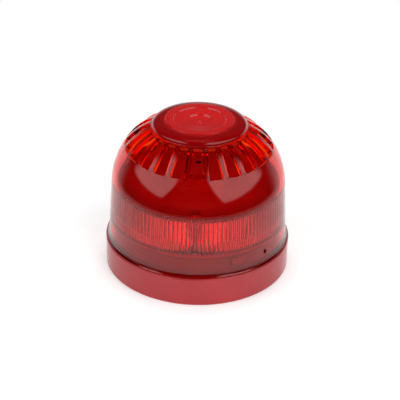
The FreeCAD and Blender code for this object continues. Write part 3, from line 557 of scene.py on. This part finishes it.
# ---- materials ----
# Radii where the cap's red turns from the lighter disc, partly a painted reflection of the light
# from above, to the darker rim
HAZE_AND_TOP_LIGHT_RADII = (0.0165, 0.0205)  # metres from the dome's axis
PLASTIC_IOR = 1.5


def new_material(name):
    material = bpy.data.materials.new(name)
    material.use_nodes = True
    nodes = material.node_tree.nodes
    return material, nodes, material.node_tree.links, nodes["Principled BSDF"]


def noise(nodes, links, scale, detail):
    place = nodes.new("ShaderNodeTexCoord")
    texture = nodes.new("ShaderNodeTexNoise")
    texture.inputs["Scale"].default_value = scale
    texture.inputs["Detail"].default_value = detail
    texture.inputs["Roughness"].default_value = 0.55
    links.new(place.outputs["Object"], texture.inputs["Vector"])
    return texture


def ramp(nodes, links, source, low, high, start=0.35, end=0.65):
    """Colour ramp between two colours or grey levels."""
    node = nodes.new("ShaderNodeValToRGB")
    for element, place, colour in zip(node.color_ramp.elements, (start, end), (low, high)):
        element.position = place
        element.color = (*colour, 1) if isinstance(colour, tuple) else (colour, colour, colour, 1)
    links.new(source, node.inputs["Fac"])
    return node


def bump(nodes, links, source, distance, strength, target):
    node = nodes.new("ShaderNodeBump")
    node.inputs["Distance"].default_value = distance
    node.inputs["Strength"].default_value = strength
    links.new(source, node.inputs["Height"])
    links.new(node.outputs["Normal"], target.inputs["Normal"])


def ease(nodes, links, source, start, end, low, high):
    """Smooth step of a value from low at start to high at end."""
    node = nodes.new("ShaderNodeMapRange")
    node.interpolation_type = "SMOOTHSTEP"
    for name, value in (("From Min", start), ("From Max", end), ("To Min", low), ("To Max", high)):
        node.inputs[name].default_value = value
    links.new(source, node.inputs["Value"])
    return node.outputs["Result"]


def calculate(nodes, links, operation, first, second=None):
    """Result of a sum on one or two values, each a number or another node's output."""
    node = nodes.new("ShaderNodeMath")
    node.operation = operation
    for socket, value in zip(node.inputs, (first, second)):
        if isinstance(value, (int, float)):
            socket.default_value = value
        elif value is not None:
            links.new(value, socket)
    return node.outputs["Value"]


def moulded_plastic(name, dark, light, rough_low, rough_high, grain=2600.0, grain_strength=0.12):
    """Moulded plastic: faint colour drift, patchy gloss and a fine spark-eroded grain."""
    material, nodes, links, shader = new_material(name)
    drift = noise(nodes, links, 55.0, 3.0)
    colour = ramp(nodes, links, drift.outputs["Fac"], dark, light, 0.3, 0.7)
    links.new(colour.outputs["Color"], shader.inputs["Base Color"])
    patches = noise(nodes, links, 190.0, 5.0)
    gloss = ramp(nodes, links, patches.outputs["Fac"], rough_low, rough_high, 0.3, 0.7)
    links.new(gloss.outputs["Color"], shader.inputs["Roughness"])
    fine = noise(nodes, links, grain, 2.0)
    bump(nodes, links, fine.outputs["Fac"], 0.00003, grain_strength, shader)
    return material


def see_through(name, rough_low, rough_high):
    """Plastic that lets light through its surface and blurs it more the rougher it is."""
    material, nodes, links, shader = new_material(name)
    shader.inputs["Transmission Weight"].default_value = 1.0
    shader.inputs["IOR"].default_value = PLASTIC_IOR
    patches = noise(nodes, links, 120.0, 5.0)
    gloss = ramp(nodes, links, patches.outputs["Fac"], rough_low, rough_high, 0.35, 0.75)
    links.new(gloss.outputs["Color"], shader.inputs["Roughness"])
    return material, nodes, links, shader


def clear_red(name):
    """Clear red polycarbonate: light is lost with depth, so thin edges glow orange."""
    material, nodes, links, shader = see_through(name, 0.02, 0.05)
    shader.inputs["Base Color"].default_value = (1.0, 0.86, 0.84, 1)
    ripple = noise(nodes, links, 90.0, 2.0)
    bump(nodes, links, ripple.outputs["Fac"], 0.00002, 0.1, shader)
    absorb = nodes.new("ShaderNodeVolumeAbsorption")
    absorb.inputs["Color"].default_value = (0.985, 0.63, 0.0, 1)
    absorb.inputs["Density"].default_value = 2600.0
    links.new(absorb.outputs["Volume"], nodes["Material Output"].inputs["Volume"])
    return material


def frosted_red(name):
    """Underside of the cap, which shows no clear picture of what is below it."""
    material, nodes, links, shader = see_through(name, 0.55, 0.7)
    shader.inputs["Base Color"].default_value = (0.92, 0.04, 0.03, 1)
    return material


def slot_end_painted_glow(name):
    """Opaque orange red for the slots' ends and corners, a stand-in for the light that real
    clear plastic carries along its wall and lets out there."""
    return moulded_plastic(name, (0.6, 0.016, 0.003), (0.68, 0.022, 0.005), 0.3, 0.45)


def milky_red_painted_top_light(name):
    """The thick cap: the plastic, made milky by fine scatter that sends part of the light back,
    with a lighter red on the flat disc than on the rim. The lighter disc is partly a painted
    reflection of the light from above."""
    material, nodes, links, shader = see_through(name, 0.05, 0.1)
    shader.inputs["Transmission Weight"].default_value = 0.42
    place = nodes.new("ShaderNodeTexCoord")
    flat = nodes.new("ShaderNodeVectorMath")
    flat.operation = "MULTIPLY"
    flat.inputs[1].default_value = (1, 1, 0)
    links.new(place.outputs["Object"], flat.inputs[0])
    from_axis = nodes.new("ShaderNodeVectorMath")
    from_axis.operation = "LENGTH"
    links.new(flat.outputs["Vector"], from_axis.inputs[0])
    outward = ease(nodes, links, from_axis.outputs["Value"], *HAZE_AND_TOP_LIGHT_RADII, 0, 1)
    # Lighter red on the disc and darker on the rim: the milky plastic together with a painted
    # reflection of the light from above
    haze_and_top_light = ramp(nodes, links, outward, (0.7, 0.019, 0.02), (0.3, 0.0, 0.001), 0.0, 1.0)
    links.new(haze_and_top_light.outputs["Color"], shader.inputs["Base Color"])
    return material


def soften_edges(material, weight):
    """Adds the pale bloom that a fine mould texture shows at grazing angles."""
    shader = material.node_tree.nodes["Principled BSDF"]
    shader.inputs["Sheen Weight"].default_value = weight
    shader.inputs["Sheen Roughness"].default_value = 0.25


def dull(material, specular):
    """Lowers the mirror share of a plastic that is seen only through the slots and the dome."""
    shader = material.node_tree.nodes["Principled BSDF"]
    shader.inputs["Specular IOR Level"].default_value = specular


def dress_dome(dome):
    """Clear all over, but milky on the cap, with a painted reflection of the light from above on
    its disc, frosted on the cap's underside and opaque orange red on the slots' ends, whose faces
    are already marked; that red is a painted glow of the light let out there. The order is that of
    the finish numbers."""
    for finish in (clear_red("dome_clear_red"), milky_red_painted_top_light("cap_milky_painted_light"),
                   frosted_red("cap_frosted"), slot_end_painted_glow("slot_end_glow")):
        dome.data.materials.append(finish)
    for face in dome.data.polygons:
        radius = math.hypot(face.center.x, face.center.y)
        height = face.center.z
        # The cap gets the milky red, with the painted reflection of light on its top disc
        if height > mm(CAP_MILKY_PAINTED_LIGHT_BOTTOM):
            face.material_index = CAP_MILKY_PAINTED_LIGHT
        elif (radius < mm(UNDERSIDE_FINISH_RADIUS)
              and mm(UNDERSIDE_FINISH_BOTTOM) < height < mm(UNDERSIDE_FINISH_TOP)):
            face.material_index = CAP_UNDERSIDE_FINISH


def brushed_metal(name, dark, light, rough_low, rough_high):
    """Metal with a faint change of tone and fine scratches in its gloss."""
    material, nodes, links, shader = new_material(name)
    shader.inputs["Metallic"].default_value = 1.0
    tone = noise(nodes, links, 300.0, 4.0)
    colour = ramp(nodes, links, tone.outputs["Fac"], dark, light)
    links.new(colour.outputs["Color"], shader.inputs["Base Color"])
    scratches = noise(nodes, links, 900.0, 6.0)
    gloss = ramp(nodes, links, scratches.outputs["Fac"], rough_low, rough_high)
    links.new(gloss.outputs["Color"], shader.inputs["Roughness"])
    bump(nodes, links, scratches.outputs["Fac"], 0.00002, 0.2, shader)
    return material


def circuit_board(name):
    """Green solder resist with darker and lighter track areas."""
    material, nodes, links, shader = new_material(name)
    place = nodes.new("ShaderNodeTexCoord")
    tracks = nodes.new("ShaderNodeTexBrick")
    tracks.inputs["Scale"].default_value = 260.0
    tracks.inputs["Mortar Size"].default_value = 0.07
    tracks.inputs["Color1"].default_value = (0.02, 0.17, 0.07, 1)
    tracks.inputs["Color2"].default_value = (0.025, 0.2, 0.085, 1)
    tracks.inputs["Mortar"].default_value = (0.05, 0.32, 0.13, 1)
    links.new(place.outputs["Object"], tracks.inputs["Vector"])
    links.new(tracks.outputs["Color"], shader.inputs["Base Color"])
    weave = noise(nodes, links, 700.0, 3.0)
    gloss = ramp(nodes, links, weave.outputs["Fac"], 0.22, 0.38)
    links.new(gloss.outputs["Color"], shader.inputs["Roughness"])
    bump(nodes, links, tracks.outputs["Fac"], 0.00003, 0.3, shader)
    return material


# Looks of the record's material slots: dark and light colour, lowest and highest roughness,
# and for a coarser grain than usual its scale and strength
PLASTICS = {
    "base_red": ((0.305, 0.01, 0.015), (0.35, 0.014, 0.02), 0.34, 0.44),
    "horn_red": ((0.43, 0.0013, 0.0013), (0.49, 0.0017, 0.0017), 0.4, 0.5, 1500.0, 0.3),
    "diffuser_opal": ((0.64, 0.62, 0.58), (0.7, 0.68, 0.64), 0.4, 0.5),
    "chassis_red": ((0.5, 0.04, 0.045), (0.56, 0.05, 0.055), 0.34, 0.5),
    "white_plastic": ((0.72, 0.71, 0.67), (0.8, 0.79, 0.75), 0.35, 0.5),
    "reflector_white": ((0.84, 0.84, 0.82), (0.9, 0.9, 0.88), 0.12, 0.22),
    "seal_rubber": ((0.42, 0.03, 0.03), (0.5, 0.045, 0.045), 0.6, 0.8, 1800.0, 0.3),
    "ferrite": ((0.03, 0.03, 0.033), (0.05, 0.05, 0.055), 0.5, 0.7, 1400.0, 0.4),
    "chip_black": ((0.012, 0.012, 0.014), (0.022, 0.022, 0.025), 0.4, 0.55),
    "chip_ceramic": ((0.5, 0.44, 0.34), (0.68, 0.62, 0.52), 0.35, 0.55),
    "led_resin": ((0.75, 0.6, 0.22), (0.85, 0.72, 0.32), 0.15, 0.25),
    "switch_red": ((0.42, 0.03, 0.02), (0.5, 0.05, 0.035), 0.35, 0.5),
    "pot_blue": ((0.02, 0.07, 0.3), (0.035, 0.1, 0.38), 0.3, 0.45),
    "wire_jacket": ((0.4, 0.02, 0.02), (0.5, 0.035, 0.03), 0.4, 0.55),
}
METALS = {
    "brass_parts": ((0.62, 0.42, 0.16), (0.78, 0.57, 0.26), 0.2, 0.38),
    "bronze_spring": ((0.55, 0.3, 0.16), (0.7, 0.42, 0.24), 0.2, 0.35),
    "zinc_steel": ((0.5, 0.51, 0.53), (0.66, 0.67, 0.69), 0.24, 0.4),
    "copper_wire": ((0.5, 0.17, 0.07), (0.66, 0.26, 0.12), 0.25, 0.4),
    "can_aluminium": ((0.6, 0.61, 0.62), (0.72, 0.73, 0.74), 0.25, 0.4),
}
BASE_BLOOM = 0.8
HORN_SPECULAR = 0.06


def slot_materials():
    """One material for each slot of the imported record."""
    made = {name: moulded_plastic(name, *look) for name, look in PLASTICS.items()}
    made.update({name: brushed_metal(name, *look) for name, look in METALS.items()})
    made["dome_clear_red"] = clear_red("dome_clear_red")
    made["circuit_board"] = circuit_board("circuit_board")
    soften_edges(made["base_red"], BASE_BLOOM)
    dull(made["horn_red"], HORN_SPECULAR)
    return made


def assign(piece, material):
    piece.data.materials.clear()
    piece.data.materials.append(material)


def dress_cad_nodes(materials):
    """Gives each carried-over CAD node the material of its record slot."""
    for entry in frame["record"]["subparts"]:
        node = frame["nodes"][entry["node"]]
        assign(node, materials[entry["material_slot"]])
        smooth_by_angle(node, 30)


# ---- stage and light ----
FLOOR_HALF_SIZE = 0.6
FLOOR_CLEAR_RADIUS = 0.12
FLOOR_FADE_RADIUS = 0.26
FLOOR_GLOW = 0.22


def make_floor():
    """Pale table top, plain near the object, that fades into the white room further out."""
    floor = object_from("floor", lambda bm: bmesh.ops.create_grid(
        bm, x_segments=8, y_segments=8, size=FLOOR_HALF_SIZE))
    material = moulded_plastic("floor_pale", (0.88, 0.88, 0.88), (0.9, 0.9, 0.9), 0.75, 0.85)
    nodes, links = material.node_tree.nodes, material.node_tree.links
    shader = nodes["Principled BSDF"]
    shader.inputs["Emission Color"].default_value = (1, 1, 1, 1)
    shader.inputs["Emission Strength"].default_value = FLOOR_GLOW
    place = nodes.new("ShaderNodeTexCoord")
    distance = nodes.new("ShaderNodeVectorMath")
    distance.operation = "LENGTH"
    links.new(place.outputs["Object"], distance.inputs[0])
    cover = ease(nodes, links, distance.outputs["Value"],
                 FLOOR_CLEAR_RADIUS, FLOOR_FADE_RADIUS, 1.0, 0.0)
    links.new(cover, shader.inputs["Alpha"])
    assign(floor, material)


def softbox(name, azimuth, elevation, distance, width, height, brightness):
    """Area light aimed at the object, in metres, that no camera ray or reflection shows."""
    light = bpy.data.lights.new(name, "AREA")
    light.shape = "RECTANGLE"
    light.size = width
    light.size_y = height
    light.energy = brightness * math.pi * width * height
    lamp = bpy.data.objects.new(name, light)
    turn, rise = math.radians(azimuth), math.radians(elevation)
    toward = Vector((math.sin(turn) * math.cos(rise), -math.cos(turn) * math.cos(rise),
                     math.sin(rise)))
    lamp.location = toward * distance
    lamp.rotation_euler = toward.to_track_quat("Z", "Y").to_euler()
    lamp.visible_camera = False
    lamp.visible_glossy = False
    bpy.context.scene.collection.objects.link(lamp)


def make_lights():
    softbox("softbox_top", azimuth=180, elevation=76, distance=1.3, width=0.6, height=0.6,
            brightness=7.0)
    softbox("softbox_front", azimuth=0, elevation=24, distance=1.5, width=2.0, height=1.4,
            brightness=1.5)


# Places in the room are parts of a ray's direction: x to the right, y away from the front
# and z up. A pair is where a soft edge starts and ends.
PANEL_GLOW = 1.75
PANEL_SLOPE = 0.6
PANEL_SHIFT = 0.085
PANEL_EDGE = (0.66, 0.74)
PANEL_FOOT = (0.15, 0.26)
PANEL_FOOT_RISE = 0.15
PANEL_BACK = (0.12, 0.4)
PANEL_BACK_LEAN = 0.35
PANEL_GAP = (0.24, 0.36)
FRONT_GLOW = 0.02
WALL_SIDE = (0.25, 0.75)
WALL_FADE = (0.02, 0.32)
WALL_GLOW = 1.1
HIGH_GLOW = 0.06


def make_world():
    """Room that lights the object: two tall curved panels at the front corners, dark between
    them, and a wall behind that is bright low down. The camera itself sees plain white."""
    world = bpy.data.worlds.new("studio")
    bpy.context.scene.world = world
    world.use_nodes = True
    nodes, links = world.node_tree.nodes, world.node_tree.links
    place = nodes.new("ShaderNodeTexCoord")
    split = nodes.new("ShaderNodeSeparateXYZ")
    links.new(place.outputs["Generated"], split.inputs["Vector"])
    x, y, z = (split.outputs[axis] for axis in "XYZ")
    behind = ease(nodes, links, y, *WALL_SIDE, FRONT_GLOW, 1.0)
    low_down = ease(nodes, links, z, *WALL_FADE, WALL_GLOW, HIGH_GLOW)
    room = calculate(nodes, links, "MULTIPLY", behind, low_down)
    shifted = calculate(nodes, links, "ADD", x, PANEL_SHIFT)
    aside = calculate(nodes, links, "ABSOLUTE", shifted)
    rise = calculate(nodes, links, "MULTIPLY", y, -PANEL_FOOT_RISE)
    above_foot = calculate(nodes, links, "ADD", z, rise)
    lean = calculate(nodes, links, "MULTIPLY", z, PANEL_SLOPE)
    leaning_edge = calculate(nodes, links, "ADD", aside, lean)
    back_lean = calculate(nodes, links, "MULTIPLY", z, PANEL_BACK_LEAN)
    toward_back = calculate(nodes, links, "ADD", y, back_lean)
    panel = ease(nodes, links, leaning_edge, *PANEL_EDGE, 0, PANEL_GLOW)
    for limit in (ease(nodes, links, above_foot, *PANEL_FOOT, 0, 1),
                  ease(nodes, links, toward_back, *PANEL_BACK, 1, 0),
                  ease(nodes, links, aside, *PANEL_GAP, 0, 1)):
        panel = calculate(nodes, links, "MULTIPLY", panel, limit)
    glow = calculate(nodes, links, "MAXIMUM", room, panel)
    seen = nodes.new("ShaderNodeLightPath")
    choose = nodes.new("ShaderNodeMix")
    choose.data_type = "FLOAT"
    links.new(seen.outputs["Is Camera Ray"], choose.inputs["Factor"])
    links.new(glow, choose.inputs["A"])
    choose.inputs["B"].default_value = 1.0
    background = nodes["Background"]
    background.inputs["Color"].default_value = (1, 1, 1, 1)
    links.new(choose.outputs["Result"], background.inputs["Strength"])


CAMERA_DISTANCE = 0.75
CAMERA_ELEVATION = 29.2
CAMERA_AZIMUTH = 1.3
CAMERA_ROLL = 1.24
CAMERA_LENS = 125.0
AIM_HEIGHT = 45.0
AIM_RIGHT = 0.9
AIM_BELOW = 8.4
SENSOR = 36.0


def make_camera():
    """Long lens from the front, about 29 degrees above, with the object a little below centre."""
    data = bpy.data.cameras.new("camera")
    data.lens = CAMERA_LENS
    data.sensor_width = SENSOR
    camera = bpy.data.objects.new("camera", data)
    bpy.context.scene.collection.objects.link(camera)
    azimuth = math.radians(CAMERA_AZIMUTH)
    elevation = math.radians(CAMERA_ELEVATION)
    back = Vector((math.sin(azimuth) * math.cos(elevation),
                   -math.cos(azimuth) * math.cos(elevation), math.sin(elevation)))
    centre = Vector((0, 0, mm(AIM_HEIGHT)))
    camera.location = centre + back * CAMERA_DISTANCE
    level = back.to_track_quat("Z", "Y").to_matrix()
    roll = Matrix.Rotation(math.radians(CAMERA_ROLL), 3, "Z")
    aim_right = Matrix.Rotation(-math.atan2(mm(AIM_RIGHT), CAMERA_DISTANCE), 3, "Y")
    aim_down = Matrix.Rotation(-math.atan2(mm(AIM_BELOW), CAMERA_DISTANCE), 3, "X")
    turn = level @ roll @ aim_right @ aim_down
    camera.rotation_euler = turn.to_euler()
    bpy.context.scene.camera = camera


# ---- assembly ----
materials = slot_materials()
dress_cad_nodes(materials)
make_camera()
make_floor()
make_world()
make_lights()
dress_dome(make_dome())

bpy.context.scene.view_settings.view_transform = "Standard"
bpy.context.scene.cycles.max_bounces = 24
bpy.context.scene.cycles.transmission_bounces = 24
